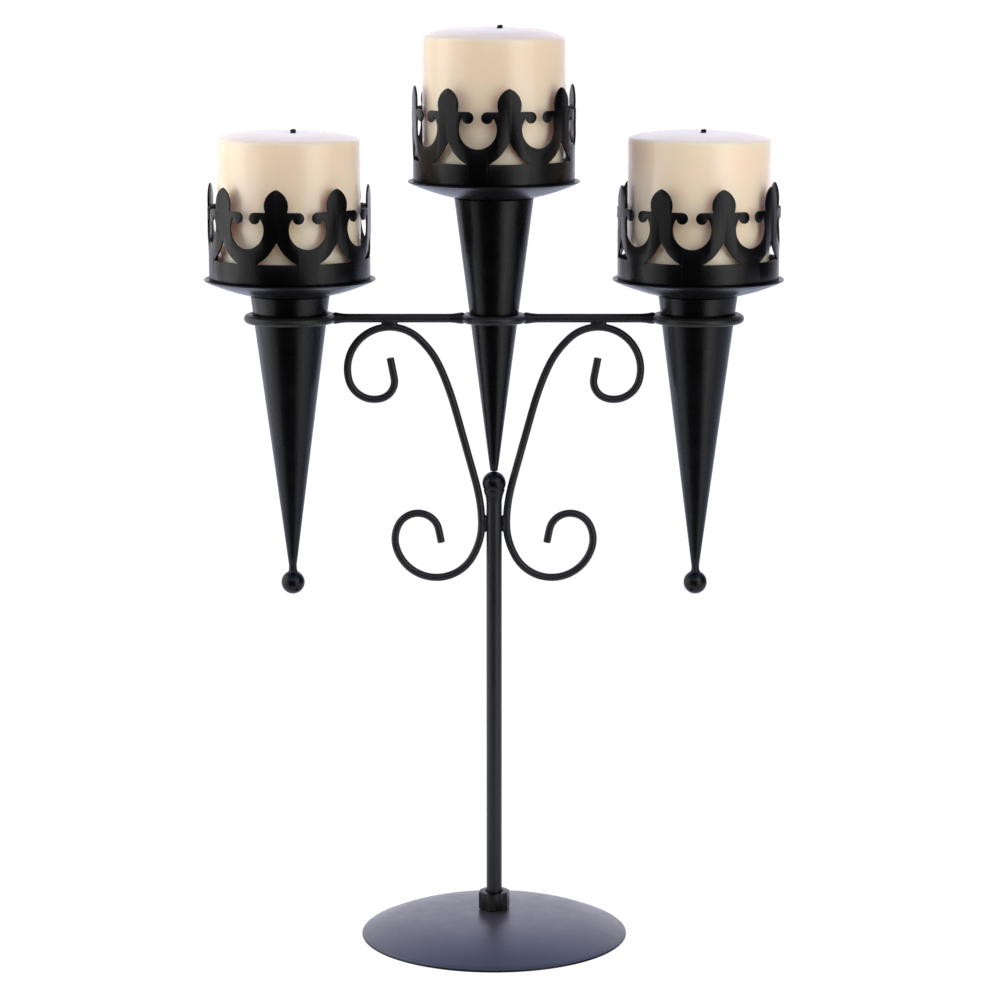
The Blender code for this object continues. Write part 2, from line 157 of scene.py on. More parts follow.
def powder_coat(name, dark, light, rough_lo, rough_hi, peel=0.25, grain=0.12, specular=0.5):
    """Satin powder coat: soft orange peel, fine grain, and a faint unevenness of tone and gloss."""
    mat, nt, b = node_material(name)
    v = coords(nt)
    tone = noise_tex(nt, v, 35, 3, 0.6)
    nt.links.new(ramp(nt, tone, [(0.3, dark), (0.7, light)]), b.inputs["Base Color"])
    gloss = noise_tex(nt, v, 90, 4, 0.6)
    nt.links.new(map_range(nt, gloss, 0.3, 0.7, rough_lo, rough_hi), b.inputs["Roughness"])
    peel_n = bump(nt, noise_tex(nt, v, 620, 2, 0.5), peel, 0.00025)
    grain_n = bump(nt, noise_tex(nt, v, 4200, 1, 0.5), grain, 0.00006, peel_n)
    nt.links.new(grain_n, b.inputs["Normal"])
    b.inputs["IOR"].default_value = 1.5
    b.inputs["Specular IOR Level"].default_value = specular
    return mat


COAT = powder_coat("black_powder_coat", (0.0008, 0.0008, 0.0009), (0.0018, 0.0017, 0.0017), 0.25, 0.33, specular=0.20)
# The wire coat is the same black coat painted several times lighter: painted light for the light that the round bars,
# rings, scrolls and pole catch.
COAT_WIRE_PAINTED_LIGHT = powder_coat("wire_coat_painted_lighter", (0.0090, 0.0090, 0.0084), (0.0140, 0.0139, 0.0130), 0.32, 0.41, specular=0.24)
# The base coat is the same black coat painted a lighter grey: painted light for the sheen on the base top.
COAT_BASE_PAINTED_LIGHT = powder_coat("base_powder_coat", (0.029, 0.0230, 0.0240), (0.035, 0.0280, 0.0310), 0.32, 0.40, peel=0.16, specular=0.95)
COAT_WELD = powder_coat("weld_powder_coat", (0.002, 0.002, 0.002), (0.006, 0.006, 0.006), 0.32, 0.48, peel=0.5, grain=0.2, specular=0.24)


def zinc(name):
    mat, nt, b = node_material(name)
    v = coords(nt)
    patches = new(nt, "ShaderNodeTexVoronoi")
    patches.inputs["Scale"].default_value = 420
    nt.links.new(v, patches.inputs["Vector"])
    nt.links.new(ramp(nt, patches.outputs["Distance"], [(0.0, (0.40, 0.41, 0.43)), (1.0, (0.62, 0.63, 0.64))]), b.inputs["Base Color"])
    nt.links.new(map_range(nt, noise_tex(nt, v, 260, 3), 0.3, 0.7, 0.28, 0.45), b.inputs["Roughness"])
    nt.links.new(bump(nt, noise_tex(nt, v, 1500, 2), 0.15, 0.0001), b.inputs["Normal"])
    b.inputs["Metallic"].default_value = 1.0
    return mat


ZINC = zinc("zinc_plate")


def wax(name, seed):
    """Ivory wax: light goes a few millimetres in and comes back warmer; the skin is smooth with a dull bloom."""
    mat, nt, b = node_material(name)
    shifted = new(nt, "ShaderNodeVectorMath", operation="ADD")
    nt.links.new(coords(nt), shifted.inputs[0])
    shifted.inputs[1].default_value = (0.31 * seed, 0.17 * seed, 0.23 * seed)
    v = shifted.outputs["Vector"]
    cloud = noise_tex(nt, v, 26, 2, 0.4)
    nt.links.new(ramp(nt, cloud, [(0.2, (0.905, 0.705, 0.475)), (0.5, (0.915, 0.73, 0.51)), (0.85, (0.925, 0.755, 0.55))]), b.inputs["Base Color"])
    nt.links.new(map_range(nt, noise_tex(nt, v, 70, 2, 0.4), 0.2, 0.8, 0.21, 0.27), b.inputs["Roughness"])
    broad = bump(nt, noise_tex(nt, v, 38, 2, 0.5), 0.05, 0.0008)
    fine = bump(nt, noise_tex(nt, v, 700, 2, 0.5), 0.04, 0.00008, broad)
    nt.links.new(fine, b.inputs["Normal"])
    b.inputs["Subsurface Weight"].default_value = 0.75
    b.inputs["Subsurface Radius"].default_value = (1.0, 0.62, 0.36)
    b.inputs["Subsurface Scale"].default_value = 0.014
    b.inputs["IOR"].default_value = 1.48
    b.inputs["Specular IOR Level"].default_value = 0.6
    return mat


WAX = {s: wax("ivory_wax_" + s, 1 + i) for i, s in enumerate(TORCHES)}


def wick_material(name, tip_z):
    """Braided cotton, waxed pale below and charred black at the tip; tip_z is the tip above the object's origin."""
    mat, nt, b = node_material(name)
    v = coords(nt)
    sep = new(nt, "ShaderNodeSeparateXYZ")
    nt.links.new(v, sep.inputs["Vector"])
    ragged = map_range(nt, noise_tex(nt, v, 1400, 3), 0.3, 0.7, -0.0003, 0.0003)
    add = new(nt, "ShaderNodeMath", operation="ADD")
    nt.links.new(sep.outputs["Z"], add.inputs[0])
    nt.links.new(ragged, add.inputs[1])
    burn = map_range(nt, add.outputs["Value"], tip_z - 0.0044, tip_z - 0.0034, 0.0, 1.0)
    nt.links.new(ramp(nt, burn, [(0.0, (0.80, 0.76, 0.70)), (0.45, (0.22, 0.15, 0.10)), (1.0, (0.006, 0.006, 0.006))]), b.inputs["Base Color"])
    nt.links.new(bump(nt, noise_tex(nt, v, 5000, 2), 0.5, 0.0001), b.inputs["Normal"])
    b.inputs["Roughness"].default_value = 0.9
    return mat


# ------------------------------------------------------------------ mesh builders (millimetres in, metres out)
def finish_mesh(name, bm, mat, location=(0, 0, 0), smooth_angle=35, rotation=None):
    bmesh.ops.recalc_face_normals(bm, faces=bm.faces)
    if bm.calc_volume(signed=True) < 0:
        bmesh.ops.reverse_faces(bm, faces=bm.faces)
    mesh = bpy.data.meshes.new(name)
    bm.to_mesh(mesh)
    bm.free()
    mesh.shade_smooth()
    mesh.set_sharp_from_angle(angle=math.radians(smooth_angle))
    mesh.materials.append(mat)
    ob = bpy.data.objects.new(name, mesh)
    ob.location = [c * MM for c in location]
    if rotation:
        ob.rotation_euler = rotation
    scene.collection.objects.link(ob)
    return ob


def lathe(name, profile, steps, mat, closed=False, shift=None, **where):
    """Turns a half section (radius, height) about Z. shift(angle, r, z) may return a small change of (r, z)."""
    bm = bmesh.new()
    rings = []
    for r, z in profile:
        if r < 1e-6:
            rings.append([bm.verts.new((0, 0, z * MM))])
            continue
        ring = []
        for i in range(steps):
            a = TAU * i / steps
            dr, dz = shift(a, r, z) if shift else (0.0, 0.0)
            ring.append(bm.verts.new(((r + dr) * math.cos(a) * MM, (r + dr) * math.sin(a) * MM, (z + dz) * MM)))
        rings.append(ring)
    pairs = list(zip(rings, rings[1:]))
    if closed:
        pairs.append((rings[-1], rings[0]))
    for a, b in pairs:
        for i in range(steps):
            j = (i + 1) % steps
            if len(a) == 1 and len(b) == 1:
                continue
            if len(a) == 1:
                bm.faces.new((a[0], b[i], b[j]))
            elif len(b) == 1:
                bm.faces.new((a[i], b[0], a[j]))
            else:
                bm.faces.new((a[i], b[i], b[j], a[j]))
    return finish_mesh(name, bm, mat, **where)


def arc_pts(cx, cz, r, a0, a1, count):
    return [(cx + r * math.cos(math.radians(a0 + (a1 - a0) * i / count)),
             cz + r * math.sin(math.radians(a0 + (a1 - a0) * i / count))) for i in range(count + 1)]


def tube(name, points, radius, mat, sides=24, end_round=0.5, wobble=0.0, **where):
    """A round bar along 3-D points, with softly broken end edges."""
    pts = [Vector(p) for p in points]
    bm = bmesh.new()
    first = (pts[1] - pts[0]).normalized()
    up = Vector((0, 1, 0)) if abs(first.y) < 0.9 else Vector((1, 0, 0))
    rings = []

    def ring(centre, tangent, normal, r):
        side = tangent.cross(normal).normalized()
        return [bm.verts.new((centre + (normal * math.cos(TAU * k / sides) + side * math.sin(TAU * k / sides)) * r) * MM)
                for k in range(sides)]

    normal = (up - first * up.dot(first)).normalized()
    n = len(pts)
    for i, p in enumerate(pts):
        if i == 0:
            t = first
        elif i == n - 1:
            t = (pts[-1] - pts[-2]).normalized()
        else:
            t = ((pts[i] - pts[i - 1]).normalized() + (pts[i + 1] - pts[i]).normalized()).normalized()
        normal = (normal - t * normal.dot(t)).normalized()
        r = radius * (1 + wobble * noise.noise(p * 0.13))
        if i == 0:
            for back, shrink in ((0.0, end_round), (end_round * 0.3, end_round * 0.3)):
                rings.append(ring(p + t * back, t, normal, r - shrink))
            rings.append(ring(p + t * end_round, t, normal, r))
        elif i == n - 1:
            rings.append(ring(p - t * end_round, t, normal, r))
            for back, shrink in ((end_round * 0.3, end_round * 0.3), (0.0, end_round)):
                rings.append(ring(p - t * back, t, normal, r - shrink))
        else:
            rings.append(ring(p, t, normal, r))
    for a, b in zip(rings, rings[1:]):
        for k in range(sides):
            m = (k + 1) % sides
            bm.faces.new((a[k], b[k], b[m], a[m]))
    bm.faces.new(rings[0])
    bm.faces.new(reversed(rings[-1]))
    return finish_mesh(name, bm, mat, **where)


def torus(name, major, minor, mat, steps=144, sides=28, **where):
    bm = bmesh.new()
    rings = []
    for i in range(steps):
        a = TAU * i / steps
        rings.append([bm.verts.new(((major + minor * math.cos(TAU * k / sides)) * math.cos(a) * MM,
                                    (major + minor * math.cos(TAU * k / sides)) * math.sin(a) * MM,
                                    minor * math.sin(TAU * k / sides) * MM)) for k in range(sides)])
    for i in range(steps):
        a, b = rings[i], rings[(i + 1) % steps]
        for k in range(sides):
            m = (k + 1) % sides
            bm.faces.new((a[k], b[k], b[m], a[m]))
    return finish_mesh(name, bm, mat, **where)


def blob(name, centre, size, mat, seed, lump=0.12, power=2.4, detail=4):
    """A weld bead: a lumpy rounded pad, in place across the crevice it fills."""
    bm = bmesh.new()
    bmesh.ops.create_icosphere(bm, subdivisions=detail, radius=1.0)
    for v in bm.verts:
        d = v.co.normalized()
        # superellipsoid keeps the pad fuller than an ellipsoid
        k = (abs(d.x) ** power + abs(d.y) ** power + abs(d.z) ** power) ** (-1 / power)
        k *= 1 + lump * noise.noise(d * 1.8 + Vector((seed, seed * 1.7, -seed))) + lump * 0.4 * noise.noise(d * 5.0 + Vector((seed, 0, 0)))
        v.co = Vector((d.x * size[0], d.y * size[1], d.z * size[2])) * k * MM
    return finish_mesh(name, bm, mat, location=centre, smooth_angle=80)


def show(ob, body, slot, *nodes):
    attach(ob, body)
    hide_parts(*nodes)
    return ob


# ------------------------------------------------------------------ stand: base
BASE_SHEET = 1.3


def dome_z(r):
    return BASE_SHEET + (SEAT_Z - BASE_SHEET) * (1 - (r / BASE_R) ** 2.8)


def base_profile():
    rings = [5.3] + [5.3 + (71.6 - 5.3) * i / 44 for i in range(1, 45)]
    top = [(r, dome_z(r)) for r in rings]
    edge = arc_pts(BASE_R - 0.62, 0.66, 0.62, 68, -90, 12)
    foot = [(BASE_R - 1.4, 0.0), (BASE_R - 2.2, 0.0), (BASE_R - 2.4, 0.1)]
    under = [(r, dome_z(r) - BASE_SHEET) for r in reversed(rings[:-1]) if r < BASE_R - 3.5]
    return top + edge + foot + under


base = lathe("base_plate_shell", base_profile(), 240, COAT_BASE_PAINTED_LIGHT, closed=True)
# the top of the base wears a lighter copy of the black coat as painted light; the rolled rim and the hollow underside
# are plain black, so the rim shows as painted shade against the top
base.data.materials.append(COAT)
for face in base.data.polygons:
    c = face.center
    if math.hypot(c.x, c.y) > (BASE_R - 0.45) * MM or face.normal.z < -0.2:
        face.material_index = 1
show(base, "stand", "base_powder_coat", "base_plate")


# nut: a hexagon whose corners are turned off by a cone, and a countersunk bore
def hex_nut():
    apothem = 9.15 * math.cos(math.pi / 6)
    turn = math.radians(20)
    per_side = 14
    bm = bmesh.new()
    columns = []
    for i in range(6 * per_side):
        # sample each side evenly; the corners are rounded slightly
        u = (i % per_side) / per_side
        a = turn + math.pi / 3 * (i // per_side) + math.pi / 3 * u
        local = (a - turn) % (math.pi / 3) - math.pi / 6
        r_hex = min(apothem / math.cos(local), 9.15 - 0.14)
        lower = NUT_HI - max(0.0, r_hex - 8.0) * math.tan(math.radians(30))
        upper = NUT_LO + max(0.0, r_hex - 8.2) * math.tan(math.radians(30))
        prof = [(4.35, NUT_HI - 4.0), (4.35, NUT_HI - 1.0), (5.15, NUT_HI - 0.12), (5.3, NUT_HI),
                (min(7.85, r_hex - 0.05), NUT_HI), (r_hex - (r_hex - 7.9) * 0.35, NUT_HI - (NUT_HI - lower) * 0.62), (r_hex, lower - 0.1),
                (r_hex, (lower + upper) / 2), (r_hex, upper + 0.1), (min(8.2, r_hex - 0.05), NUT_LO), (4.35, NUT_LO)]
        columns.append([bm.verts.new((r * math.cos(a) * MM, r * math.sin(a) * MM, z * MM)) for r, z in prof])
    n = len(columns)
    for i in range(n):
        a, b = columns[i], columns[(i + 1) % n]
        for k in range(len(a)):
            m = (k + 1) % len(a)
            bm.faces.new((a[k], b[k], b[m], a[m]))
    return finish_mesh("hex_nut", bm, COAT, smooth_angle=28)


show(hex_nut(), "stand", "black_powder_coat", "base_nut")
for n in ("base_washer", "base_bolt"):
    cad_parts[n].data.materials.clear()
    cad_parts[n].data.materials.append(ZINC)

# ------------------------------------------------------------------ stand: pole and ball
flat_z = POLE_BALL_Z - 4.8
pole_rows = [(POLE_R, POLE_LOW + (flat_z + 0.3 - POLE_LOW) * i / 24) for i in range(25)]
pole = lathe("pole_rod", [(0, flat_z + 0.3)] + list(reversed(pole_rows)) + [(0, POLE_LOW)], 64, COAT_WIRE_PAINTED_LIGHT)
show(pole, "stand", "black_powder_coat", "pole")


def ball_profile(centre, r, rows=32, end=180.0):
    pts = [(r * math.sin(math.radians(end * i / rows)), centre + r * math.cos(math.radians(end * i / rows))) for i in range(rows + 1)]
    pts[0] = (0.0, centre + r)
    if end == 180.0:
        pts[-1] = (0.0, centre - r)
    else:
        pts.append((0.0, pts[-1][1]))
    return pts


ball = lathe("pole_ball_steel", ball_profile(POLE_BALL_Z, BALL_R, end=139.0), 64, COAT)
show(ball, "stand", "black_powder_coat", "pole_ball")


def fillet_rows(r0, z0, r1, z1, bulge, count=8):
    """A concave fillet from (r0, z0) out to (r1, z1)."""
    rows = []
    for i in range(count + 1):
        t = i / count
        rows.append((r0 + (r1 - r0) * t ** (1 + bulge), z0 + (z1 - z0) * (1 - (1 - t) ** (1 + bulge * 0.4))))
    return rows


def ring_noise(seed, amount, inner):
    return lambda a, r, z: ((amount * noise.noise(Vector((math.cos(a) * 2.2, math.sin(a) * 2.2, z * 0.7 + seed)))) if r > inner else 0.0, 0.0)


outer = [(4.25, flat_z - 5.2), (4.45, flat_z - 3.6), (4.75, flat_z - 2.2), (5.15, flat_z - 0.9), (5.6, flat_z + 0.5), (5.75, flat_z + 1.5), (5.2, flat_z + 2.2)]
pole_weld = lathe("pole_ball_weld", [(3.6, flat_z + 2.2)] + list(reversed(outer)) + [(3.6, flat_z - 5.2)], 56, COAT_WELD, closed=True,
                  smooth_angle=70, shift=ring_noise(3.0, 0.16, 4.3))
show(pole_weld, "stand", "weld_powder_coat", "weld_pole_ball")

# ------------------------------------------------------------------ stand: rings, crossbar
for s in TORCHES:
    ring = torus("holder_ring_" + s, RING_R[s], BAR_R, COAT_WIRE_PAINTED_LIGHT, location=(AXIS_X[s], 0, BAR_Z))
    show(ring, "stand", "black_powder_coat", "ring_" + s)

for s, sign in (("left", -1), ("right", 1)):
    x0, x1 = RING_R["centre"] + BAR_R - 1.3, abs(AXIS_X[s]) - RING_R[s] - BAR_R + 1.3
    pts = [(sign * (x0 + (x1 - x0) * i / 20), 0, BAR_Z) for i in range(21)]
    bar = tube("crossbar_rod_" + s, pts, BAR_R, COAT_WIRE_PAINTED_LIGHT, sides=32, end_round=0.3)
    show(bar, "stand", "black_powder_coat", "crossbar_" + s)
    for end, at, inward in (("centre", RING_R["centre"] + BAR_R, 1), ("side", abs(AXIS_X[s]) - RING_R[s] - BAR_R, -1)):
        # a bead that runs on to the ring on one side and thins out along the bar on the other
        prof = [(1.2, -2.1), (2.7, -2.0), (3.05, -1.4), (3.12, -0.5), (3.0, 0.5), (2.82, 1.5), (2.66, 2.5), (2.55, 3.5), (2.47, 4.5), (2.42, 5.4), (2.36, 6.0), (1.2, 6.1)]
        weld = lathe("ring_weld_%s_%s" % (s, end), prof, 44, COAT_WELD, closed=True, smooth_angle=75,
                     shift=ring_noise(7.0 + at * sign, 0.15, 2.6), location=(sign * at, 0, BAR_Z),
                     rotation=(0, sign * inward * math.pi / 2, 0))
        show(weld, "stand", "weld_powder_coat", "weld_bar_%s_%s" % (s, end))

# ------------------------------------------------------------------ stand: scrolls
SCROLL_UP = [("arc", 76.5, 15.4), ("run", 48.4), ("arc", 112, 10.2), ("arc", 48.8, 22.8),
             ("arc", 22.9, 146.5), ("arc", 14.1, 92.5), ("arc", 9.6, 83.7), ("run", 11.1)]
SCROLL_DOWN = [("arc", 37, 31.5), ("arc", 22.6, 133.5), ("arc", 17.2, 41.5),
               ("arc", 11.9, 95), ("arc", 11, 47.5), ("run", 7.2)]


def bend(start, heading, schedule, turn, step=2.6):
    x, z = start
    h = math.radians(heading)
    points = [(x, z)]
    for item in schedule:
        if item[0] == "run":
            n = max(2, round(item[1] / 2.5))
            for _ in range(n):
                x, z = x + item[1] / n * math.cos(h), z + item[1] / n * math.sin(h)
                points.append((x, z))
            continue
        radius, sweep = item[1], math.radians(item[2])
        count = max(2, round(item[2] / step))
        d = sweep / count
        chord = 2 * radius * math.sin(d / 2)
        for _ in range(count):
            x, z = x + chord * math.cos(h + turn * d / 2), z + chord * math.sin(h + turn * d / 2)
            h += turn * d
            points.append((x, z))
    return points


start_x = POLE_R + 0.3 + WIRE_R
up = bend((start_x, 0.0), 90, SCROLL_UP, -1)
down = bend((start_x, 0.0), -90, SCROLL_DOWN, 1)
contact_z = (BAR_Z - BAR_R - 0.3 - WIRE_R) - max(z for _, z in up)
crest_x = max(up, key=lambda p: p[1])[0]
# ease the joints between arcs so that the wire bends as wire does
route = np.array([(x, z + contact_z) for x, z in reversed(up)] + [(x, z + contact_z) for x, z in down[1:]])
for _ in range(6):
    route[1:-1] = route[1:-1] * 0.5 + (route[:-2] + route[2:]) * 0.25

for s, sign in (("left", -1), ("right", 1)):
    wire = tube("scroll_wire_" + s, [(sign * x, 0, z) for x, z in route], WIRE_R, COAT_WIRE_PAINTED_LIGHT, sides=28, end_round=0.35, wobble=0.012)
    show(wire, "stand", "black_powder_coat", "scroll_" + s)
    top_weld = blob("scroll_top_weld_" + s, (sign * crest_x, 0, BAR_Z - BAR_R - 0.15), (4.3, 2.45, 2.5), COAT_WELD, 1.3 + sign, lump=0.09, power=3.4)
    show(top_weld, "stand", "weld_powder_coat", "weld_scroll_bar_%s_front" % s, "weld_scroll_bar_%s_back" % s)
    side_weld = blob("scroll_pole_weld_" + s, (sign * 5.0, 0, contact_z - 0.3), (1.7, 2.3, 4.6), COAT_WELD, 4.1 + sign, lump=0.10, power=2.2)
    show(side_weld, "stand", "weld_powder_coat", "weld_scroll_pole_%s_front" % s, "weld_scroll_pole_%s_back" % s)


# ------------------------------------------------------------------ torches: cone, pan
def cone_shift(a, r, z):
    """A rolled seam down the back: the sheet's edge laps by its own thickness and fades round."""
    d = (a - math.pi / 2 + math.pi) % TAU - math.pi       # angle from the back
    if r < 1.0:
        return 0.0, 0.0
    lap = 0.0
    if d >= 0:
        lap = 0.42 * math.exp(-d * r / 3.2)
    out = 0.03 * math.sin(3 * a + z * 0.02)
    return (lap + out) * min(1.0, r / 6.0), 0.0


def cone_profile(s):
    top, tip = CONE_TOP[s], CONE_TIP[s]
    slope = (CONE_TOP_R - CONE_TIP_R) / (top - tip)
    rows = 28
    outside = [(CONE_TOP_R - 0.12, top), (CONE_TOP_R, top - 0.14)]
    outside += [(CONE_TIP_R + slope * (top - tip) * (1 - i / rows), tip + (top - tip) * (1 - i / rows)) for i in range(1, rows)]
    outside += [(CONE_TIP_R + 0.02, tip + 0.3), (CONE_TIP_R - 0.25, tip), (0, tip)]
    wall = CONE_SHEET
    inside = [(0, tip + 3.0), (CONE_TIP_R + slope * 3 - wall, tip + 3.0), (CONE_TOP_R - wall, top - 0.1), (CONE_TOP_R - wall + 0.1, top)]
    return inside + outside


def dish_z(r):
    return 0.3 + (r * r - CONE_TOP_R ** 2) / (2 * PAN_DISH_R)


def pan_profile():
    """Pressed saucer: spherical dish, flared lip with a small rounded edge."""
    flare = lambda r: 0.28 * max(0.0, (r - 43.2) / (PAN_R - 43.2)) ** 2
    radii = [0.0] + [PAN_R * i / 40 for i in range(1, 40)] + [PAN_R - 0.45]
    upper = [(r, dish_z(r) + PAN_SHEET + flare(r)) for r in radii]
    lower = [(r, dish_z(r) + flare(r)) for r in reversed(radii)]
    cz = dish_z(PAN_R - 0.4) + PAN_SHEET / 2 + flare(PAN_R - 0.4)
    lip = arc_pts(PAN_R - 0.42, cz, 0.4, 70, -70, 8)
    return upper + lip + lower


# ------------------------------------------------------------------ torches: crown
BAND_H, WINDOW_HALF, WINDOW_APEX = 12.3, 10.9, 23.8
SCALLOP_R, SCALLOP_Z = 10.2, 30.4
ARM_END_R, ARM_END_X, ARM_END_Z = 3.1, 11.8, 36.5
PETAL_BASE, PETAL_HALF, PETAL_WIDE_Z, CROWN_H = 5.9, 6.45, 43.0, 51.5
PITCH = TAU * CROWN_R / FLEURS


def round_corner(before, corner, after, r, count=4):
    """Replaces a corner by a small quadratic curve."""
    a, c, b = Vector(before), Vector(corner), Vector(after)
    p = c + (a - c).normalized() * r
    q = c + (b - c).normalized() * r
    return [tuple(((1 - t) ** 2) * p + 2 * t * (1 - t) * c + t * t * q) for t in (i / count for i in range(count + 1))]


def fleur_side():
    """Right half of a fleur, from the scallop's floor up to the tip."""
    half = PITCH / 2
    dx, dz = ARM_END_X - half, ARM_END_Z - SCALLOP_Z
    dist = math.hypot(dx, dz)
    along = (SCALLOP_R ** 2 - ARM_END_R ** 2 + dist ** 2) / (2 * dist)
    across = math.sqrt(SCALLOP_R ** 2 - along ** 2)
    nx = half + along * dx / dist - across * dz / dist
    nz = SCALLOP_Z + along * dz / dist + across * dx / dist
    a1 = math.degrees(math.atan2(nz - SCALLOP_Z, nx - half))
    b0 = math.degrees(math.atan2(nz - ARM_END_Z, nx - ARM_END_X)) % 360
    scallop = arc_pts(half, SCALLOP_Z, SCALLOP_R, 270, a1 + 5.0, 26)
    arm = arc_pts(ARM_END_X, ARM_END_Z, ARM_END_R, b0 + 20, 450, 26)
    notch = round_corner(scallop[-1], (nx, nz), arm[0], 0.75, 4)[1:-1]
    base = (PETAL_BASE, ARM_END_Z + ARM_END_R)
    petal = []
    # pointed oval: from its foot, out to the widest place and in to the tip
    foot_h = PETAL_WIDE_Z - base[1]
    for i in range(1, 7):
        t = i / 6
        petal.append((PETAL_BASE + (PETAL_HALF - PETAL_BASE) * math.sin(t * math.pi / 2), base[1] + foot_h * t))
    tip_h = CROWN_H - PETAL_WIDE_Z
    for i in range(1, 19):
        t = math.sin(math.pi / 2 * i / 18)
        w = PETAL_HALF * (1 - t * t) ** 0.68
        petal.append((w, PETAL_WIDE_Z + tip_h * t))
    corner = round_corner(arm[-1], base, petal[0], 0.35, 3)
    return scallop + notch + arm + corner + petal[:-1]


def window():
    """Triangular window with a flat foot and concave sides that follow the scallops."""
    left = []
    for i in range(0, 11):
        t = i / 10
        # a circular side concentric with the scallop, sprung between the foot corner and the apex
        x = WINDOW_HALF * (1 - t)
        z = BAND_H + (WINDOW_APEX - BAND_H) * t
        sag = 1.55 * math.sin(math.pi * t) * (1 - 0.25 * t)
        nx, nz = -(WINDOW_APEX - BAND_H), -WINDOW_HALF
        length = math.hypot(nx, nz)
        left.append((x + nx / length * sag, z + nz / length * sag * 0.9))
    right_side = left[1:-1]
    pts = [(-WINDOW_HALF, BAND_H), (WINDOW_HALF, BAND_H)] + right_side + [(0.0, WINDOW_APEX)] + [(-x, z) for x, z in reversed(right_side)]
    return pts


def crown_mesh():
    """The crown cut flat from sheet with softened edges, then rolled into a ring with a butted seam."""
    side = fleur_side()
    fleur = [(-x, z) for x, z in side] + [(0.0, CROWN_H)] + list(reversed(side))
    length = FLEURS * PITCH
    outline, holes = [], []
    for k in range(FLEURS):
        c = (k + 0.5) * PITCH
        pts = [(c + x, z) for x, z in fleur]
        outline += pts[1:] if k else pts
        holes.append([(c + x, z) for x, z in window()])
    outline[0] = (0.12, outline[0][1])
    outline[-1] = (length - 0.12, outline[-1][1])
    outline += [(length - 0.12, 0.0), (0.12, 0.0)]
    edge = 0.22
    curve = bpy.data.curves.new("crown_flat", "CURVE")
    curve.dimensions = "2D"
    curve.fill_mode = "BOTH"
    curve.extrude = (CROWN_SHEET / 2 - edge) * MM
    curve.bevel_depth = edge * MM
    curve.bevel_resolution = 1
    curve.offset = -edge * MM
    for loop in [outline] + holes:
        spline = curve.splines.new("POLY")
        spline.points.add(len(loop) - 1)
        for point, (x, z) in zip(spline.points, loop):
            point.co = (x * MM, z * MM, 0, 1)
        spline.use_cyclic_u = True
    ob = bpy.data.objects.new("crown_flat", curve)
    scene.collection.objects.link(ob)
    bpy.context.view_layer.update()
    mesh = bpy.data.meshes.new_from_object(ob.evaluated_get(bpy.context.evaluated_depsgraph_get()))
    bpy.data.objects.remove(ob, do_unlink=True)
    bm = bmesh.new()
    bm.from_mesh(mesh)
    bmesh.ops.remove_doubles(bm, verts=bm.verts, dist=0.000004)
    bmesh.ops.dissolve_limit(bm, angle_limit=0.0005, verts=bm.verts, edges=bm.edges)
    columns = FLEURS * 20
    for i in range(1, columns):
        bmesh.ops.bisect_plane(bm, geom=bm.verts[:] + bm.edges[:] + bm.faces[:], dist=0.000005,
                               plane_co=(length * i / columns * MM, 0, 0), plane_no=(1, 0, 0))
    bmesh.ops.triangulate(bm, faces=bm.faces)
    bmesh.ops.recalc_face_normals(bm, faces=bm.faces)
    for v in bm.verts:
        angle = v.co.x / (length * MM) * TAU - TAU / FLEURS / 2
        # the narrow petals and arms stay almost flat when the sheet is rolled
        off = abs((v.co.x / MM) % PITCH - PITCH / 2)
        rise = min(1.0, max(0.0, (v.co.y / MM - BAND_H - 4.0) / 12.0))
        flat = min(0.6, CROWN_R * (1 / math.cos(off / CROWN_R) - 1)) * rise * rise * (3 - 2 * rise) * 0.85
        radius = (CROWN_R - CROWN_SHEET / 2 + flat) * MM + v.co.z
        v.co = Vector((radius * math.sin(angle), -radius * math.cos(angle), v.co.y))
    if bm.calc_volume(signed=True) < 0:
        bmesh.ops.reverse_faces(bm, faces=bm.faces)
    bm.to_mesh(mesh)
    bm.free()
    mesh.name = "crown_rolled"
    mesh.shade_smooth()
    mesh.set_sharp_from_angle(angle=math.radians(32))
    mesh.materials.clear()
    mesh.materials.append(COAT)
    return mesh


crown = crown_mesh()


# ------------------------------------------------------------------ candles
def candle_profile(h, crest):
    """Poured pillar: a low dome that dips round the wick and rolls over into the side."""
    f = lambda r: (1 - (r / 36.9) ** 4.2) * (1 - 0.42 * math.exp(-(r / 6.5) ** 2))
    rows = [(r, h + crest * f(r)) for r in [1.85 + (36.3 - 1.85) * i / 30 for i in range(31)]]
    rows += arc_pts(CANDLE_R - 2.4, h - 2.1, 2.4, 70, 0, 10)
    rows += [(CANDLE_R, h - 2.6 - (h - 4.8) * i / 30) for i in range(31)]
    rows += [(CANDLE_R - 0.5, 0.7), (CANDLE_R - 1.5, 0.0), (20, 0.0), (1.85, 0.0)]
    return rows


def candle_shift(seed, h):
    def f(a, r, z):
        w = min(1.0, max(0.0, (r - 27) / 9))
        p = Vector((math.cos(a) * 2.2, math.sin(a) * 2.2, z * 0.045 + seed))
        dr = w * (-0.10 + 0.10 * noise.noise(p) + 0.03 * noise.noise(p * 4.0))
        top = min(1.0, max(0.0, (z - h + 4) / 4))
        x, y = r * math.cos(a), r * math.sin(a)
        dz = top * (0.22 * noise.noise(Vector((x * 0.06, y * 0.06, seed))) - 0.012 * x - 0.25)
        return dr, dz if r > 2 else -0.25 * top
    return f


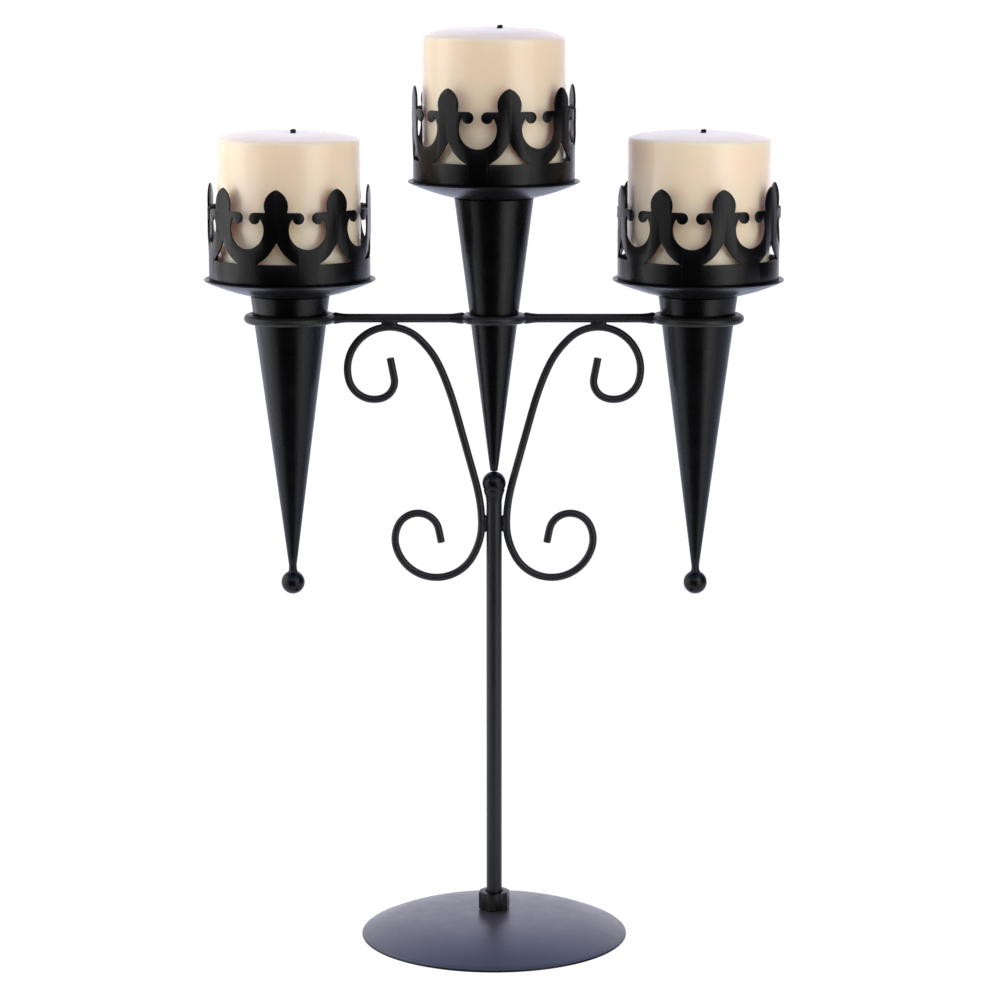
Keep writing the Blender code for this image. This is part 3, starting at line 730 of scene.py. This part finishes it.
def wick(name, base_z, tip_z, mat, seed):
    """Three cotton strands twisted together, splayed a little at the tip."""
    bm = bmesh.new()
    height = tip_z - base_z
    for strand in range(3):
        sides, rows = 8, 40
        rings = []
        for i in range(rows + 1):
            t = i / rows
            z = t * height
            a = TAU * strand / 3 + z * 1.15 + seed * 1.9
            spread = 0.62 + 0.05 * math.sin(t * 9 + seed)
            r = 0.95 * (1.0 if t < 0.9 else math.sqrt(max(0.04, 1.0 - ((t - 0.9) / 0.1) ** 2)))
            c = Vector((spread * math.cos(a), spread * math.sin(a), z - (0.25 * strand if i == rows else 0)))
            c.x += 0.4 * max(0.0, (t - 0.62) / 0.38) ** 1.5
            rings.append([bm.verts.new((c + Vector((r * math.cos(TAU * k / sides), r * math.sin(TAU * k / sides), 0))) * MM) for k in range(sides)])
        for a_, b_ in zip(rings, rings[1:]):
            for k in range(sides):
                m = (k + 1) % sides
                bm.faces.new((a_[k], b_[k], b_[m], a_[m]))
        bm.faces.new(rings[0])
        bm.faces.new(rings[-1])
    return finish_mesh(name, bm, mat, smooth_angle=60)


pan_mesh_owner = None
for i, s in enumerate(TORCHES):
    body = s + "_torch"
    x = AXIS_X[s]
    cone = lathe("rolled_cone_" + s, cone_profile(s), 144, COAT, shift=cone_shift, location=(x, 0, 0))
    show(cone, body, "black_powder_coat", "torch_cone_" + s)
    pan = lathe("pan_saucer_" + s, pan_profile(), 180, COAT, location=(x, 0, CONE_TOP[s]))
    show(pan, body, "black_powder_coat", "drip_pan_" + s)
    mesh = crown.copy()
    mesh.name = "crown_rolled_" + s
    mesh.transform(Matrix.Rotation(math.radians(FLEUR_TURN[s]), 4, "Z"))
    ob = bpy.data.objects.new("crown_band_" + s, mesh)
    ob.location = (x * MM, 0, CROWN_LOW[s] * MM)
    scene.collection.objects.link(ob)
    show(ob, body, "black_powder_coat", "crown_" + s)
    if s != "centre":
        ball_z = mid("finial_ball_" + s).z / MM
        b = lathe("finial_steel_" + s, ball_profile(ball_z, BALL_R, rows=36), 64, COAT, location=(x, 0, 0))
        show(b, body, "black_powder_coat", "finial_ball_" + s)
        top = ball_z + BALL_R
        rows = [(0, CONE_TIP[s] + 1.2), (1.9, CONE_TIP[s] + 1.2), (2.1, CONE_TIP[s] + 0.2), (2.12, top + 1.4), (2.2, top + 0.6), (2.5, top - 0.2), (3.1, top - 0.95),
                (3.7, top - 1.5), (3.0, top - 2.2), (0, top - 2.4)]
        w = lathe("finial_weld_bead_" + s, rows, 44, COAT_WELD, smooth_angle=75, shift=ring_noise(11.0 + i, 0.18, 2.0), location=(x, 0, 0))
        show(w, body, "weld_powder_coat", "weld_finial_" + s)

    cb = s + "_candle"
    height = CANDLE_TOP[s] - CANDLE_LOW[s]
    height -= CREST[s]
    candle = lathe("wax_pillar_" + s, candle_profile(height, CREST[s]), 200, WAX[s], closed=True, shift=candle_shift(1.0 + 3.7 * i, height),
                   location=(x, 0, CANDLE_LOW[s]), smooth_angle=50)
    for v in candle.data.vertices:
        q = min(1.0, max(0.0, (12.0 - math.hypot(v.co.x, v.co.y) / MM) / 9.5))
        v.co.x += WICK_OFF[s] * q * q * (3 - 2 * q) * MM
    show(candle, cb, "ivory_wax", "candle_" + s)
    up_h = WICK_TOP[s] - CANDLE_TOP[s] + CREST[s] - 0.4
    wk = wick("twisted_wick_" + s, -3.0, up_h, wick_material("cotton_wick_" + s, (up_h + 3.0) * MM), i)
    wk.location = ((x + WICK_OFF[s]) * MM, 0, (CANDLE_TOP[s] - CREST[s] - 3.0) * MM)
    show(wk, cb, "cotton_wick", "wick_" + s)

# ------------------------------------------------------------------ stage and light
# softboxes: azimuth, distance, height, width, tall, radiance, colour
WHITE = (1.0, 0.99, 0.975)
BOXES = {
    "rear_left": (-122, 1.25, 0.48, 0.55, 1.5, 1.25, WHITE),
    "key_left": (-88, 1.25, 0.48, 0.78, 1.5, 3.00, WHITE),
    "fill_left": (-60, 1.25, 0.48, 0.50, 1.5, 1.25, WHITE),
    "fill_right": (35, 1.25, 0.48, 0.55, 1.5, 2.05, WHITE),
    "key_right": (54, 0.88, 0.48, 0.45, 1.4, 1.75, WHITE),
    "front_high": (0, 1.30, 1.14, 1.50, 0.6, 1.28, (1.0, 0.96, 0.88)),
}
FLOOR_GLOW = 0.45
BACK = (1.28, 1.24, 1.42)
BACK_SPREAD = (0.40, 0.98)
ABOVE = (0.35, 0.49, 0.96)
ABOVE_SPREAD = (0.2, 0.8)

bm = bmesh.new()
bmesh.ops.create_grid(bm, x_segments=8, y_segments=8, size=1.0)
for v in bm.verts:
    v.co = Vector((v.co.x * 1.7, 0.70 + v.co.y * 1.05, 0.0))
floor_mesh = bpy.data.meshes.new("floor")
bm.to_mesh(floor_mesh)
bm.free()
floor = bpy.data.objects.new("floor", floor_mesh)
floor.location = (0, 0, -0.0002)
scene.collection.objects.link(floor)
mat, nt, b = node_material("pale_floor")
v = coords(nt)
nt.links.new(ramp(nt, noise_tex(nt, v, 6, 2), [(0.3, 0.84), (0.7, 0.86)]), b.inputs["Base Color"])
b.inputs["Roughness"].default_value = 0.8
b.inputs["Specular IOR Level"].default_value = 0.1
b.inputs["Emission Color"].default_value = (1, 1, 1, 1)
b.inputs["Emission Strength"].default_value = FLOOR_GLOW
# seen directly the floor is the same blank white as the room; it still lights the undersides
blank = new(nt, "ShaderNodeEmission")
blank.inputs["Strength"].default_value = 1.05
pick = new(nt, "ShaderNodeMixShader")
nt.links.new(new(nt, "ShaderNodeLightPath").outputs["Is Camera Ray"], pick.inputs["Fac"])
nt.links.new(b.outputs["BSDF"], pick.inputs[1])
nt.links.new(blank.outputs["Emission"], pick.inputs[2])
# and from below it is open, so the hollow underside can be looked at
open_below = new(nt, "ShaderNodeMixShader")
nt.links.new(new(nt, "ShaderNodeNewGeometry").outputs["Backfacing"], open_below.inputs["Fac"])
nt.links.new(pick.outputs["Shader"], open_below.inputs[1])
nt.links.new(new(nt, "ShaderNodeBsdfTransparent").outputs["BSDF"], open_below.inputs[2])
nt.links.new(open_below.outputs["Shader"], nt.nodes["Material Output"].inputs["Surface"])
floor_mesh.materials.append(mat)


def softbox(name, azimuth, distance, z, width, height, radiance, colour=(1, 1, 1), aim_z=0.33):
    """A soft light at an azimuth measured from the camera towards +X."""
    data = bpy.data.lights.new(name, "AREA")
    data.shape = "RECTANGLE"
    data.size, data.size_y = width, height
    data.energy = radiance * math.pi * width * height
    data.color = colour
    ob = bpy.data.objects.new(name, data)
    a = math.radians(azimuth)
    ob.location = (distance * math.sin(a), -distance * math.cos(a), z)
    ob.rotation_euler = (Vector(ob.location) - Vector((0, 0, aim_z))).to_track_quat("Z", "Y").to_euler()
    ob.visible_camera = False
    scene.collection.objects.link(ob)
    return ob


for name, box in BOXES.items():
    softbox(name, *box)

world = bpy.data.worlds.new("studio")
scene.world = world
world.use_nodes = True
nt = world.node_tree
nt.nodes.clear()
out = new(nt, "ShaderNodeOutputWorld")
seen = new(nt, "ShaderNodeBackground")
seen.inputs["Color"].default_value = (1, 1, 1, 1)
seen.inputs["Strength"].default_value = 1.05
lit = new(nt, "ShaderNodeBackground")
# the room: white behind, cool above, dark on the camera's side
direction = new(nt, "ShaderNodeTexCoord").outputs["Generated"]
sep = new(nt, "ShaderNodeSeparateXYZ")
nt.links.new(direction, sep.inputs["Vector"])
back = map_range(nt, sep.outputs["Y"], *BACK_SPREAD, 0.0, 1.0)
above = map_range(nt, sep.outputs["Z"], *ABOVE_SPREAD, 0.0, 1.0)
back_colour = ramp(nt, back, [(0.0, (0.0, 0.0, 0.0)), (0.45, tuple(c * 0.35 for c in BACK)), (1.0, BACK)])
above_colour = ramp(nt, above, [(0.0, (0.0, 0.0, 0.0)), (1.0, ABOVE)])
mix = new(nt, "ShaderNodeMix", data_type="RGBA", blend_type="ADD")
mix.inputs["Factor"].default_value = 1.0
nt.links.new(back_colour, mix.inputs["A"])
nt.links.new(above_colour, mix.inputs["B"])
nt.links.new(mix.outputs["Result"], lit.inputs["Color"])
path = new(nt, "ShaderNodeLightPath")
choose = new(nt, "ShaderNodeMixShader")
nt.links.new(path.outputs["Is Camera Ray"], choose.inputs["Fac"])
nt.links.new(lit.outputs["Background"], choose.inputs[1])
nt.links.new(seen.outputs["Background"], choose.inputs[2])
nt.links.new(choose.outputs["Shader"], out.inputs["Surface"])
